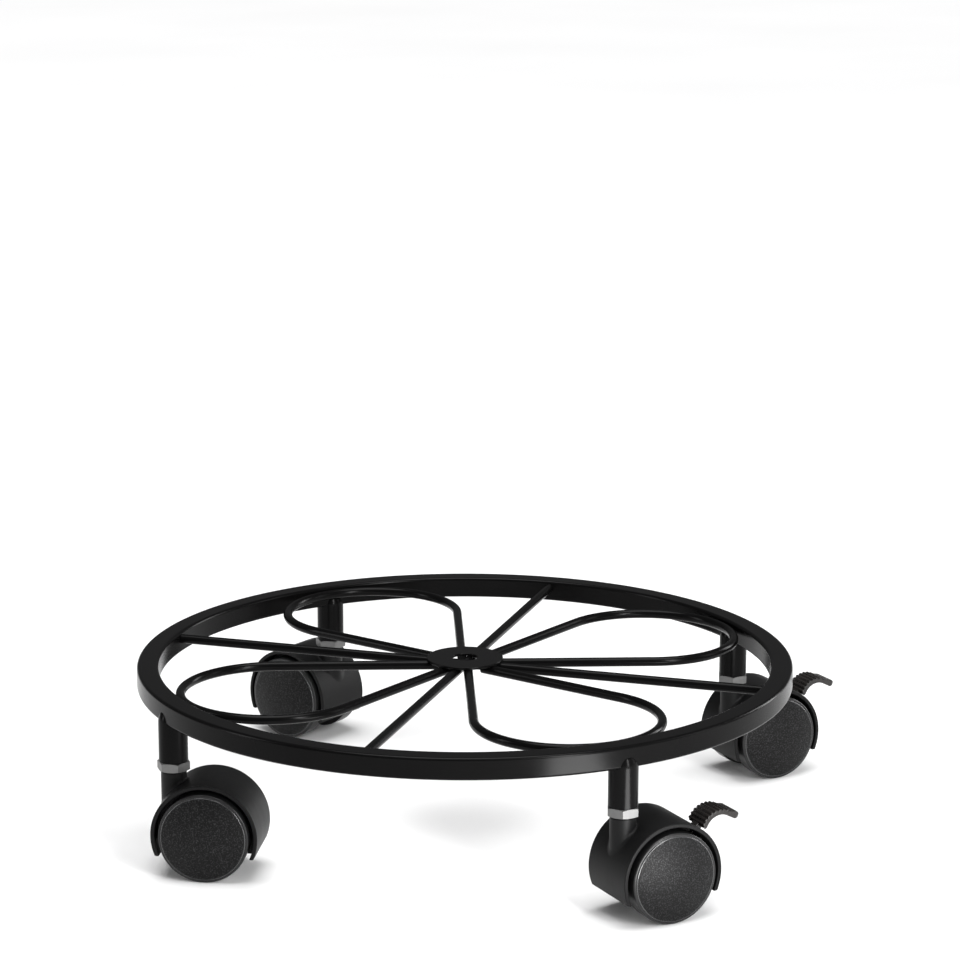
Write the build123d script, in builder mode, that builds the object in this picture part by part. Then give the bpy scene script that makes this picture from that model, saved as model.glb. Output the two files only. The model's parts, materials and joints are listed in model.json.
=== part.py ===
from build123d import *
import os
from math import asin, cos, radians, sin, sqrt

# A rolling caddy for a plant pot: a ring of square steel tube filled with bent wire, carried on
# four twin-wheel swivel casters, two of them with a brake lever.
# Frame: +Z up, origin on the floor under the middle of the ring, spokes along X and Y, the sleeves
# that hold the casters on the diagonals, front is -Y. All sizes are in millimetres.

os.makedirs("parts", exist_ok=True)

# ---- Driving sizes of the platform ----
height = 78.2  # floor to the plane that the pot stands on
ring_radius = 150.0  # outside of the ring
tube = 10.0  # side of the square tube
tube_corner = 1.4  # outside corner radius of the tube
tube_wall = 1.2
vent_radius = 2.0  # hole in the tube's underside above each sleeve
wire = 4.3  # diameter of the spokes and the petals
weld_gap = 0.05  # between a wire's end and the tube
contact_gap = 0.02  # between coped or notched pieces that touch
petal_apex = 2.5  # where a petal's two legs would meet, from the centre
petal_leg_start = 8.6  # from that point to the cut end of a leg
petal_arc = 41.0  # centre-line radius of a petal's round end
hub_radius = 17.5
hub_hole = 5.7
hub_thick = 1.2
hub_round = 0.35

# ---- Driving sizes of the sleeves and stems ----
post_radius = 6.5
post_length = 17.8  # below the ring
ear_height = 4.7  # the sleeve's two ears, up the sides of the tube
ear_top_radius = 5.15
thread_radius = 3.95
thread_gap = 0.06
nut_flats = 13.0
nut_corners = 15.3
nut_thick = 4.0
nut_cone = 0.45  # height that the chamfer takes off a nut's corners
lead_in = 0.4  # chamfer on bores, bosses and shafts
stem_engagement = 13.5  # threaded length inside the sleeve
pintle_radius = 4.0
running = 0.05  # radial clearance of every shaft in its bore
pintle_chamfer = 0.8
thread_chamfer = 0.7
bore_bottom = 2.6  # plastic left between the pocket and the stem's bore
end_play = 0.3  # between the pintle's end and the bore's floor
clip_rise = 8.0  # from the bore's floor to the clip's groove
clip_thick = 1.0
clip_groove = 1.4
clip_groove_depth = 0.8
clip_out, clip_in = 0.65, 0.7  # how far the clip reaches out of and into the pintle
clip_split = 1.6
clip_room = 0.2  # above and below the groove in the boss
clip_room_depth = 1.0

# ---- Driving sizes of a caster ----
wheel_radius = 20.2
trail = 16.1  # swivel axis to axle
hood_radius = 23.9
hood_wall = 1.8
hood_half = 15.7  # half the hood's width
hood_cut_angle = 23.0  # the hood ends this far below the axle, in degrees
edge_round = 0.5
web_half = 7.3  # half the width of the plate between the wheels
pocket_length = 3.7  # recess at the front of the plate's underside
pocket_depth = 5.0
boss_radius = 5.7
boss_gap = 0.5  # between the lock nut and the boss
boss_root = 0.6  # the boss starts this far above the pocket's roof
axle_radius = 2.5
axle_half = 15.4
rim_inner = 8.8  # the tread's inner edge, from the middle of the caster
rim_outer = 17.1
rim_wall = 2.6
tread_round = 0.8
tread_chamfer = 0.4  # on the tread's inner edge
disc_in, disc_out = 11.5, 13.3  # the wheel's disc
hub_wall_radius = 5.2
hub_in, hub_out = 7.7, 14.0
rib_count = 6
rib_thick = 1.2
rib_height = 1.8
rib_root = 0.3  # how far each end of a rib runs into the wheel
cap_radius = 18.95
cap_seat = 15.5
cap_crown = 20.4  # top of the face's dome, from the middle of the caster
cap_wall = 1.4
cap_gap = 0.05
cap_shoulder = 0.35
cap_step = 0.6  # from the skirt's inside to the dome's inside
washer_radius = 4.3
washer_thick = 0.6
washer_gap = 0.3  # between the hub and its washer
washer_slack = 0.2
washer_groove = 0.4
washer_seat = 0.25

# ---- Driving sizes of a brake lever ----
lever_travel = 15.0  # degrees, from free to pressed
pivot_x, pivot_z = 15.4, 10.4  # the lever's pin, from the axle
pin_radius = 1.2
pin_inset = 0.1
pin_chamfer = 0.2
lever_hub = 2.6
neck_half = 2.2  # half the neck's width along the axle
slot_half = 2.75
neck_thick = 3.0
paddle_half = 6.3
paddle_under = 7.2  # radius of the paddle's hollow underside
paddle_thick = 2.0
paddle_x, paddle_z = 28.9, 13.5  # middle of that hollow, from the axle
paddle_start, paddle_end = 158.0, 66.0  # directions that the curved part runs between
tip_x, tip_z, tip_radius = 36.3, 19.6, 1.65
ridge_radius = 0.62
ridge_sink = 0.2  # a ridge's middle lies this far under the paddle's top
ridge_start = 4.0  # degrees from the curve's start to the first ridge
ridge_pitch = 12.4
ridges = 8
bar_radius = 1.5  # brake bar inside the wheels
bar_half = 11.1
bar_gap = 0.2  # left between the pressed bar and the rim
bar_angle = 46.0  # direction of the pressed bar from the axle
moving_gap = 0.45

# Corner name: direction of its sleeve, rest direction of its caster's trail, turn of its nut, brake.
corners = {
    "front_left": (225.0, 10.1, 7.0, False),
    "front_right": (315.0, 44.8, 45.0, True),
    "rear_right": (45.0, 45.0, 45.0, True),
    "rear_left": (135.0, 160.4, 7.0, False),
}

# ---- Worked-out sizes ----
ring_line = ring_radius - tube / 2
ring_inner = ring_radius - tube
ring_bottom = height - tube
wire_radius = wire / 2
wire_z = height - hub_thick - wire_radius
petal_centre = ring_inner - weld_gap - wire_radius - petal_arc
petal_half_angle = asin(petal_arc / (petal_centre - petal_apex))
petal_leg = sqrt((petal_centre - petal_apex) ** 2 - petal_arc**2)
post_bottom = ring_bottom - post_length
nut_bottom = post_bottom - nut_thick
boss_top = nut_bottom - boss_gap
axle_z = wheel_radius
cut_z = axle_z - hood_radius * sin(radians(hood_cut_angle))
pocket_top = cut_z + pocket_depth
bore_floor = pocket_top + bore_bottom
pintle_end = bore_floor + end_play
clip_z = bore_floor + clip_rise
boss_bottom = pocket_top + boss_root
washer_middle = hub_out + washer_gap + washer_thick / 2
hood_inner = hood_radius - hood_wall
rim_in_radius = wheel_radius - rim_wall
on_floor = (Align.CENTER, Align.CENTER, Align.MIN)


def polar(radius, angle):
    """The point at this radius and angle, in degrees."""
    return radius * cos(radians(angle)), radius * sin(radians(angle))


def turned(point, centre, angle):
    """A point turned about a centre by an angle in degrees, anticlockwise."""
    dx, dz = point[0] - centre[0], point[1] - centre[1]
    c, s = cos(radians(angle)), sin(radians(angle))
    return centre[0] + c * dx - s * dz, centre[1] + s * dx + c * dz


def beside(centre, radius, angle):
    """The point at this radius and angle from a centre."""
    dx, dz = polar(radius, angle)
    return centre[0] + dx, centre[1] + dz


def save(solid, name):
    """Label one finished piece and write its STEP file."""
    solid.label = name
    export_step(solid, f"parts/{name}.step")


# ---- Platform ----
with BuildPart() as outer_ring:
    with BuildSketch(Plane.XZ):
        with Locations((ring_line, height - tube / 2)):
            RectangleRounded(tube, tube, tube_corner)
            RectangleRounded(
                tube - 2 * tube_wall, tube - 2 * tube_wall, tube_corner / 2, mode=Mode.SUBTRACT
            )
    revolve(axis=Axis.Z)
    with Locations(Plane.XY.offset(ring_bottom)):
        with PolarLocations(ring_line, 4, start_angle=45):
            Cylinder(vent_radius, 3 * tube_wall, mode=Mode.SUBTRACT)
save(outer_ring.part, "outer_ring")

with BuildPart() as hub_disc:
    with BuildSketch(Plane.XY.offset(height - hub_thick)):
        Circle(hub_radius)
        Circle(hub_hole, mode=Mode.SUBTRACT)
    extrude(amount=hub_thick)
    fillet(hub_disc.edges().group_by(Axis.Z)[-1], hub_round)
save(hub_disc.part, "hub_disc")

spoke_reach = ring_inner - weld_gap
with BuildPart() as spoke_through:
    with BuildSketch(Plane.YZ):
        with Locations((0, wire_z)):
            Circle(wire_radius)
    extrude(amount=spoke_reach, both=True)
save(spoke_through.part, "spoke_through")

# The two short spokes run along -Y and +Y, and their inner ends are coped to the long one.
for name, side in (("spoke_front", -1), ("spoke_rear", 1)):
    with BuildPart() as spoke:
        with BuildSketch(Plane(origin=(0, 0, wire_z), x_dir=(1, 0, 0), z_dir=(0, side, 0))):
            Circle(wire_radius)
        extrude(amount=spoke_reach)
        with BuildSketch(Plane.YZ):
            with Locations((0, wire_z)):
                Circle(wire_radius + contact_gap)
        extrude(amount=2 * wire, both=True, mode=Mode.SUBTRACT)
    save(spoke.part, name)

# A petal is one wire: out along a straight leg, round the end and back along the other leg.
leg_x, leg_y = cos(petal_half_angle), sin(petal_half_angle)
leg_start = (petal_apex + petal_leg_start * leg_x, petal_leg_start * leg_y)
leg_end = (petal_apex + petal_leg * leg_x, petal_leg * leg_y)
for name, (direction, _, _, _) in corners.items():
    along = (*polar(1, direction), 0)
    with BuildPart() as petal:
        with BuildLine(Plane(origin=(0, 0, wire_z), x_dir=along, z_dir=(0, 0, 1))) as path:
            Line((leg_start[0], -leg_start[1]), (leg_end[0], -leg_end[1]))
            ThreePointArc(
                (leg_end[0], -leg_end[1]), (petal_centre + petal_arc, 0), (leg_end[0], leg_end[1])
            )
            Line((leg_end[0], leg_end[1]), (leg_start[0], leg_start[1]))
        loop = path.wire()
        with BuildSketch(Plane(origin=loop @ 0, z_dir=loop % 0)):
            Circle(wire_radius)
        sweep(path=loop)
    save(petal.part, f"petal_{name}")

# ---- Sleeves, stems and lock nuts ----
nuts = []
clips = []
for name, (direction, _, nut_turn, _) in corners.items():
    x, y = polar(ring_line, direction)

    # The sleeve is notched to sit over the tube, and its conical top leaves two arched ears.
    with BuildPart() as post:
        with Locations((x, y, post_bottom)):
            Cylinder(post_radius, post_length, align=on_floor)
        with Locations((x, y, ring_bottom)):
            Cone(post_radius, ear_top_radius, ear_height, align=on_floor)
        with BuildSketch(Plane.XY.offset(ring_bottom)):
            Circle(ring_radius + contact_gap)
            Circle(ring_inner - contact_gap, mode=Mode.SUBTRACT)
        extrude(amount=tube, mode=Mode.SUBTRACT)
        with Locations((x, y, post_bottom)):
            Cylinder(
                thread_radius + thread_gap,
                tube + post_length,
                align=on_floor,
                mode=Mode.SUBTRACT,
            )
        chamfer(post.edges().group_by(Axis.Z)[0].sort_by(SortBy.RADIUS)[0], lead_in)
    save(post.part, f"sleeve_{name}")

    # The stem: thread above, plain swivel pintle below with a groove for its clip.
    with BuildPart() as stem:
        with Locations((x, y, pintle_end)):
            Cylinder(pintle_radius, boss_top - pintle_end, align=on_floor)
        chamfer(stem.edges().group_by(Axis.Z)[0], pintle_chamfer)
        with Locations((x, y, boss_top)):
            Cylinder(thread_radius, post_bottom + stem_engagement - boss_top, align=on_floor)
        chamfer(stem.edges().group_by(Axis.Z)[-1], thread_chamfer)
        with BuildSketch(Plane.XY.offset(clip_z)):
            with Locations((x, y)):
                Circle(pintle_radius + clip_groove_depth)
                Circle(pintle_radius - clip_groove_depth, mode=Mode.SUBTRACT)
        extrude(amount=clip_groove, mode=Mode.SUBTRACT)
    save(stem.part, f"stem_{name}")

    # Each clip is a split ring that half fills the stem's groove and stands out into the boss's.
    with BuildPart() as clip:
        with BuildSketch(Plane.XY.offset(clip_z + (clip_groove - clip_thick) / 2)):
            with Locations((x, y)):
                Circle(pintle_radius + clip_out)
                Circle(pintle_radius - clip_in, mode=Mode.SUBTRACT)
            with Locations((x + pintle_radius, y)):
                Rectangle(pintle_radius, clip_split, mode=Mode.SUBTRACT)
        extrude(amount=clip_thick)
    clips.append(clip.part)

    # A hexagon nut: its corners are turned off by a cone above and below.
    with BuildPart() as nut:
        with BuildSketch(Plane.XY.offset(nut_bottom)):
            with Locations((x, y)):
                RegularPolygon(nut_flats / 2, 6, major_radius=False, rotation=nut_turn)
                Circle(thread_radius + thread_gap, mode=Mode.SUBTRACT)
        extrude(amount=nut_thick)
        with BuildSketch(Plane(origin=(x, y, nut_bottom), x_dir=(1, 0, 0), z_dir=(0, -1, 0))):
            with BuildLine():
                Polyline(
                    (0, 0),
                    (nut_flats / 2, 0),
                    (nut_corners / 2, nut_cone),
                    (nut_corners / 2, nut_thick - nut_cone),
                    (nut_flats / 2, nut_thick),
                    (0, nut_thick),
                    close=True,
                )
            make_face()
        revolve(axis=Axis((x, y, 0), (0, 0, 1)), mode=Mode.INTERSECT)
    nuts.append(nut.part)

save(Compound(children=nuts), "lock_nuts")
save(Compound(children=clips), "stem_clips")

# ---- Caster, built with its swivel axis on Z and its trail along +X, then turned into place ----
axle_axis = Axis((trail, 0, axle_z), (0, 1, 0))
axle_plane = Plane(origin=(trail, 0, axle_z), x_dir=(0, 1, 0), z_dir=(1, 0, 0))
side_plane = Plane(origin=(trail, 0, axle_z), x_dir=(1, 0, 0), z_dir=(0, -1, 0))
pivot = (pivot_x, pivot_z)
bar_pressed = polar(rim_in_radius - bar_gap - bar_radius, bar_angle)
bar_free = turned(bar_pressed, pivot, lever_travel)
neck_free = beside((paddle_x, paddle_z), paddle_under + paddle_thick / 2, paddle_start)
neck_pressed = turned(neck_free, pivot, -lever_travel)


def caster_housing(braked):
    """The moulded housing: hood, plate between the wheels, and boss, with the lever's slots if braked."""
    with BuildPart() as housing:
        with BuildSketch(side_plane):
            Circle(hood_radius)
            Circle(hood_inner, mode=Mode.SUBTRACT)
            with Locations((0, cut_z - axle_z)):
                Rectangle(
                    3 * hood_radius,
                    2 * hood_radius,
                    align=(Align.CENTER, Align.MAX),
                    mode=Mode.SUBTRACT,
                )
        extrude(amount=hood_half, both=True)
        fillet(housing.edges(), edge_round)

        with BuildSketch(side_plane):
            Circle(hood_radius - hood_wall / 2)
            with Locations((0, cut_z - axle_z)):
                Rectangle(
                    3 * hood_radius,
                    2 * hood_radius,
                    align=(Align.CENTER, Align.MAX),
                    mode=Mode.SUBTRACT,
                )
            with Locations((-hood_inner, cut_z - axle_z)):
                Rectangle(
                    2 * pocket_length,
                    2 * pocket_depth,
                    mode=Mode.SUBTRACT,
                )
        extrude(amount=web_half, both=True)

        with Locations((0, 0, boss_bottom)):
            Cylinder(boss_radius, boss_top - boss_bottom, align=on_floor)
        chamfer(housing.edges().group_by(Axis.Z)[-1], lead_in)
        with Locations((0, 0, bore_floor)):
            Cylinder(
                pintle_radius + running, boss_top - bore_floor, align=on_floor, mode=Mode.SUBTRACT
            )
        with Locations((0, 0, clip_z - clip_room)):
            Cylinder(
                pintle_radius + clip_room_depth,
                clip_groove + 2 * clip_room,
                align=on_floor,
                mode=Mode.SUBTRACT,
            )
        with BuildSketch(side_plane):
            Circle(axle_radius)
        extrude(amount=2 * web_half, both=True, mode=Mode.SUBTRACT)

        if braked:
            # The neck's slot, as wide as the neck needs between its free and pressed places.
            with BuildSketch(side_plane):
                with Locations(pivot):
                    Circle(lever_hub + moving_gap)
                with Locations(pivot, neck_free, neck_pressed):
                    Circle(neck_thick / 2 + moving_gap)
                make_hull()
            extrude(amount=slot_half, both=True, mode=Mode.SUBTRACT)
            with BuildSketch(side_plane):
                with Locations(pivot, bar_free, bar_pressed):
                    Circle(bar_radius + moving_gap)
                make_hull()
            extrude(amount=slot_half, both=True, mode=Mode.SUBTRACT)
            # The bar's window through the whole plate.
            with BuildSketch(side_plane):
                with Locations(bar_free, bar_pressed):
                    Circle(bar_radius + moving_gap)
                make_hull()
            extrude(amount=2 * web_half, both=True, mode=Mode.SUBTRACT)
            with BuildSketch(side_plane):
                with Locations(pivot):
                    Circle(pin_radius)
            extrude(amount=web_half, both=True, mode=Mode.SUBTRACT)
    return housing.part


def caster_axle():
    """The steel axle, with a groove near each end for its washer."""
    with BuildPart() as axle:
        with BuildSketch(side_plane):
            Circle(axle_radius)
        extrude(amount=axle_half, both=True)
        chamfer(axle.edges(), lead_in)
        with BuildSketch(axle_plane):
            with Locations((washer_middle, axle_radius), (-washer_middle, axle_radius)):
                Rectangle(washer_thick + washer_slack, 2 * washer_groove)
        revolve(axis=axle_axis, mode=Mode.SUBTRACT)
    return axle.part


def axle_washers():
    """The two spring washers that keep the wheels on the axle."""
    with BuildPart() as washers:
        with BuildSketch(axle_plane):
            for side in (1, -1):
                with Locations((side * washer_middle, (axle_radius + washer_radius) / 2)):
                    Rectangle(washer_thick, washer_radius - axle_radius + 2 * washer_seat)
        revolve(axis=axle_axis)
    return washers.part


def caster_wheel(side):
    """One moulded wheel: tread, disc and hub in a turned section, with ribs under its cap."""
    with BuildPart() as wheel:
        with BuildSketch(axle_plane):
            with BuildLine():
                Polyline(
                    (side * (rim_outer - tread_round), wheel_radius),
                    (side * (rim_inner + tread_chamfer), wheel_radius),
                    (side * rim_inner, wheel_radius - tread_chamfer),
                    (side * rim_inner, rim_in_radius),
                    (side * disc_in, rim_in_radius),
                    (side * disc_in, hub_wall_radius),
                    (side * hub_in, hub_wall_radius),
                    (side * hub_in, axle_radius + running),
                    (side * hub_out, axle_radius + running),
                    (side * hub_out, hub_wall_radius),
                    (side * disc_out, hub_wall_radius),
                    (side * disc_out, rim_in_radius),
                    (side * cap_seat, rim_in_radius),
                    (side * cap_seat, cap_radius + cap_gap),
                    (side * rim_outer, cap_radius + cap_gap),
                    (side * rim_outer, wheel_radius - tread_round),
                )
                RadiusArc(
                    (side * rim_outer, wheel_radius - tread_round),
                    (side * (rim_outer - tread_round), wheel_radius),
                    -side * tread_round,
                )
            make_face()
        revolve(axis=axle_axis)
        rib_span = rim_in_radius - hub_wall_radius + 2 * rib_root
        with Locations(Plane(origin=(trail, side * disc_out, axle_z), z_dir=(0, side, 0))):
            with PolarLocations((rim_in_radius + hub_wall_radius) / 2, rib_count):
                Box(rib_span, rib_thick, rib_height, align=on_floor)
    return wheel.part


def wheel_cap(side):
    """The domed face that closes a wheel, with a skirt that presses into its rim."""
    skirt = cap_radius - cap_wall
    edge_radius = cap_radius - cap_shoulder
    inner_radius = skirt - cap_step
    rise = cap_crown - rim_outer - cap_shoulder
    dome = (edge_radius**2 + rise**2) / (2 * rise)

    def on_dome(sphere, radius):
        """The point at this distance from the axle on a sphere about the dome's middle."""
        return side * (cap_crown - dome + sqrt(sphere**2 - radius**2)), radius

    with BuildPart() as cap:
        with BuildSketch(axle_plane):
            with BuildLine():
                outside = [on_dome(dome, r) for r in (0, edge_radius / 2, edge_radius)]
                inside = [on_dome(dome - cap_wall, r) for r in (inner_radius, inner_radius / 2, 0)]
                ThreePointArc(*outside)
                Polyline(
                    outside[-1],
                    (side * rim_outer, cap_radius),
                    (side * (cap_seat + cap_gap), cap_radius),
                    (side * (cap_seat + cap_gap), skirt),
                    inside[0],
                )
                ThreePointArc(*inside)
                Line(inside[-1], outside[0])
            make_face()
        revolve(axis=axle_axis)
    return cap.part


def brake_lever():
    """The moulded lever: ridged paddle, neck, hub on its pin, and the bar that brakes both wheels."""
    outer = paddle_under + paddle_thick
    hollow = (paddle_x, paddle_z)
    middle = (paddle_start + paddle_end) / 2
    start_out, mid_out, end_out = (
        beside(hollow, outer, angle) for angle in (paddle_start, middle, paddle_end)
    )
    start_in, mid_in, end_in = (
        beside(hollow, paddle_under, angle) for angle in (paddle_start, middle, paddle_end)
    )
    curve_end = beside(hollow, outer - paddle_thick / 2, paddle_end)
    with BuildPart() as lever:
        with BuildSketch(side_plane):
            with BuildLine():
                ThreePointArc(start_out, mid_out, end_out)
                Line(end_out, end_in)
                ThreePointArc(end_in, mid_in, start_in)
                Line(start_in, start_out)
            make_face()
            for k in range(ridges):
                direction = paddle_start - ridge_start - k * ridge_pitch
                with Locations(beside(hollow, outer - ridge_sink, direction)):
                    Circle(ridge_radius)
        extrude(amount=paddle_half, both=True)
        # The toe runs straight on from the curve to a round end.
        with BuildSketch(side_plane):
            with Locations(curve_end):
                Circle(paddle_thick / 2)
            with Locations((tip_x, tip_z)):
                Circle(tip_radius)
            make_hull()
        extrude(amount=paddle_half, both=True)
        # The neck, its hub and the arm of the brake bar.
        with BuildSketch(side_plane):
            with Locations(pivot, neck_free):
                Circle(neck_thick / 2)
            make_hull()
        extrude(amount=neck_half, both=True)
        with BuildSketch(side_plane):
            with Locations(pivot, bar_free):
                Circle(bar_radius)
            make_hull()
        extrude(amount=neck_half, both=True)
        with BuildSketch(side_plane):
            with Locations(pivot):
                Circle(lever_hub)
        extrude(amount=neck_half, both=True)
        with BuildSketch(side_plane):
            with Locations(bar_free):
                Circle(bar_radius)
        extrude(amount=bar_half, both=True)
        with BuildSketch(side_plane):
            with Locations(pivot):
                Circle(pin_radius + running)
        extrude(amount=slot_half, both=True, mode=Mode.SUBTRACT)
    return lever.part


def lever_pin():
    """The steel pin that the lever turns on, pressed into the plate."""
    with BuildPart() as pin:
        with BuildSketch(side_plane):
            with Locations(pivot):
                Circle(pin_radius)
        extrude(amount=web_half - pin_inset, both=True)
        chamfer(pin.edges(), pin_chamfer)
    return pin.part


# ---- The four casters, each standing the way it last rolled ----
housings = {False: caster_housing(False), True: caster_housing(True)}
axle = caster_axle()
washers = axle_washers()
wheels = {"left": caster_wheel(1), "right": caster_wheel(-1)}
caps = {"left": wheel_cap(1), "right": wheel_cap(-1)}
lever = brake_lever()
pin = lever_pin()

for name, (direction, yaw, _, braked) in corners.items():
    place = Location((*polar(ring_line, direction), 0), (0, 0, yaw))
    save(housings[braked].moved(place), f"housing_{name}")
    save(axle.moved(place), f"axle_{name}")
    save(washers.moved(place), f"axle_washers_{name}")
    for side in ("left", "right"):
        save(wheels[side].moved(place), f"wheel_{name}_{side}")
        save(caps[side].moved(place), f"wheel_cap_{name}_{side}")
    if braked:
        save(lever.moved(place), f"brake_lever_{name}")
        save(pin.moved(place), f"lever_pin_{name}")
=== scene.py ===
"""Looks of a rolling caddy for a plant pot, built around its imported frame.

A ring of square steel tube is filled with bent wire and rolls on four twin-wheel swivel casters,
two of them with a brake lever. Shapes are worked out in millimetres and written in metres.
"""

import json
import logging
import math
from collections.abc import Sequence
from dataclasses import dataclass
from enum import Enum

import bmesh
import bpy
import numpy as np
from mathutils import Matrix, Quaternion, Vector

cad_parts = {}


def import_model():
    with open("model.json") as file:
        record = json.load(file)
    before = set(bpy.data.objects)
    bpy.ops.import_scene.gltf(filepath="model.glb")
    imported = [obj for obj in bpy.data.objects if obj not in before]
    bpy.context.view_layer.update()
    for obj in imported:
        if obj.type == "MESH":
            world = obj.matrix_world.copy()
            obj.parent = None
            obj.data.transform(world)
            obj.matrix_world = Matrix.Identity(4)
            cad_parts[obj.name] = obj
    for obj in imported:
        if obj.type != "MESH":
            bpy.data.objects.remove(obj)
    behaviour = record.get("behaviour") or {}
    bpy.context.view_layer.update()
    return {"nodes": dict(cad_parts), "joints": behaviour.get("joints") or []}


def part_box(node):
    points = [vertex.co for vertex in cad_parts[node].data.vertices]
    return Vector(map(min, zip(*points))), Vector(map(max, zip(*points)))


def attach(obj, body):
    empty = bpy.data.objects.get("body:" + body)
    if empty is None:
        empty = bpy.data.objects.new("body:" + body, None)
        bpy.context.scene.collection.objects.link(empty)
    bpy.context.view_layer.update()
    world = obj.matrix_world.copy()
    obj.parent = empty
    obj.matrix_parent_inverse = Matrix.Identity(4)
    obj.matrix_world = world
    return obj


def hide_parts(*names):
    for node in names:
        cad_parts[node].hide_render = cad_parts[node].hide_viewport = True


log = logging.getLogger("plant_pot_caddy")

MM = 0.001
FULL_TURN = 2 * math.pi
SEWING_GAP = 2e-6  # metres; points closer than this are one point
NEAR = 1e-5  # millimetres; positions closer than this are the same
TINY = 1e-9  # keeps a division away from nothing
UP = (0.0, 0.0, 1.0)

Colour = tuple[float, float, float]
Outline = Sequence[tuple[float, float, float]]


# ---------------------------------------------------------------------------------------------
# Surfaces
# ---------------------------------------------------------------------------------------------
@dataclass(frozen=True)
class Patch:
    """A grid of points in millimetres, rows by columns by three, that may close on itself."""

    points: np.ndarray
    rows_closed: bool = False
    columns_closed: bool = False
    kept: np.ndarray | None = None

    def quads(self, first: int) -> np.ndarray:
        """Join each point to its neighbours in the next row and column.

        Args:
            first: number of the patch's first point in the whole mesh.

        Returns:
            The four point numbers of each kept quad.
        """
        rows, columns = self.points.shape[:2]
        number = first + np.arange(rows * columns).reshape(rows, columns)
        if self.rows_closed:
            number = np.vstack([number, number[:1]])
        if self.columns_closed:
            number = np.hstack([number, number[:, :1]])
        corners = (number[:-1, :-1], number[1:, :-1], number[1:, 1:], number[:-1, 1:])
        quads = np.stack(corners, axis=-1)
        return quads[self.kept] if self.kept is not None else quads.reshape(-1, 4)


@dataclass(frozen=True)
class Placement:
    """An upright frame: ahead and across lie level, up is +Z, and sizes are in millimetres."""

    origin: np.ndarray
    ahead: np.ndarray
    across: np.ndarray

    def put(self, ahead: np.ndarray, across: np.ndarray, up: np.ndarray) -> np.ndarray:
        """Give the points at these distances ahead, across and up.

        Args:
            ahead: distances along the frame's ahead direction.
            across: distances along its across direction.
            up: heights above its origin.

        Returns:
            The points, with the three arrays' common shape and one axis more.
        """
        ahead, across, up = np.broadcast_arrays(ahead, across, up)
        level = ahead[..., None] * self.ahead + across[..., None] * self.across
        return self.origin + level + up[..., None] * np.array(UP)

    def turned(self, profile: np.ndarray, columns: int, closed: bool = True) -> Patch:
        """Turn a profile of (distance across, radius) once about the across direction.

        A point goes round a circle of its own radius: ahead is radius times the cosine of the
        angle, and up is radius times its sine.

        Args:
            profile: the profile's points, as rows of distance across and radius.
            columns: steps of the full turn.
            closed: whether the profile's last point joins its first.

        Returns:
            The turned surface.
        """
        angle = np.linspace(0, FULL_TURN, columns, endpoint=False)
        radius = profile[:, 1:]
        points = self.put(radius * np.cos(angle), profile[:, :1], radius * np.sin(angle))
        return Patch(points, rows_closed=closed, columns_closed=True)


def rounded_outline(corners: Outline, steps: int = 6) -> np.ndarray:
    """Round each corner of a closed outline by its own radius.

    The arc at a corner starts at its tangent point on the arriving edge, a radius times the
    tangent of half the turn before the corner. Its centre lies a radius to the inner side of
    that point, and the arc's points are the tangent point turned about the centre in even parts.

    Args:
        corners: each corner's two coordinates and radius, in order round the outline.
        steps: parts that each arc is divided into.

    Returns:
        The outline's points, two coordinates each.
    """
    table = np.asarray(corners, float)
    point, radius = table[:, :2], table[:, 2:]
    arriving = point - np.roll(point, 1, axis=0)
    arriving /= np.linalg.norm(arriving, axis=1, keepdims=True)
    leaving = np.roll(arriving, -1, axis=0)
    cross = arriving[:, 0] * leaving[:, 1] - arriving[:, 1] * leaving[:, 0]
    turn = np.arctan2(cross, (arriving * leaving).sum(axis=1))
    start = point - arriving * radius * np.tan(np.abs(turn) / 2)[:, None]
    inward = np.sign(turn)[:, None] * np.stack([-arriving[:, 1], arriving[:, 0]], axis=1)
    centre = start + inward * radius
    part = (turn[:, None] * np.linspace(0, 1, steps + 1))[..., None]
    arm = (start - centre)[:, None]
    quarter = np.stack([-arm[..., 1], arm[..., 0]], axis=-1)
    return (centre[:, None] + arm * np.cos(part) + quarter * np.sin(part)).reshape(-1, 2)


def stacked(columns: int, *rows: float | np.ndarray) -> np.ndarray:
    """Stack numbers, lines and blocks of lines into one block of this many columns."""
    blocks = [np.atleast_2d(np.asarray(row, float)) for row in rows]
    return np.concatenate([np.broadcast_to(block, (len(block), columns)) for block in blocks])


def quarter_turn(steps: int) -> np.ndarray:
    """Angles from 0 to 90 degrees in even steps, in radians and as one column."""
    return np.radians(np.linspace(0, 90, steps + 1))[:, None]


def on_circle(centre: tuple[float, float], radius: float, degrees: np.ndarray) -> np.ndarray:
    """The points of a circle at these directions, two coordinates each."""
    angle = np.radians(degrees)
    return np.asarray(centre) + radius * np.stack([np.cos(angle), np.sin(angle)], axis=-1)


def rounded_steps(half: float, rounding: float, extra: Sequence[float] = ()) -> np.ndarray:
    """Positions along one side of a rounded block, closer together over its rounded edges.

    Past the flat part the position is the flat half length plus the rounding times the tangent
    of an angle that runs from 0 to 45 degrees, so the rounded edge has even parts.

    Args:
        half: half the side's length.
        rounding: radius of the rounded edges.
        extra: further positions that must be among them.

    Returns:
        The positions in rising order.
    """
    tail = half - rounding + rounding * np.tan(np.radians(np.array([0.0, 15.0, 30.0, 45.0])))
    return np.unique(np.concatenate([-tail, tail, np.asarray(extra, float)]).round(6))


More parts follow.
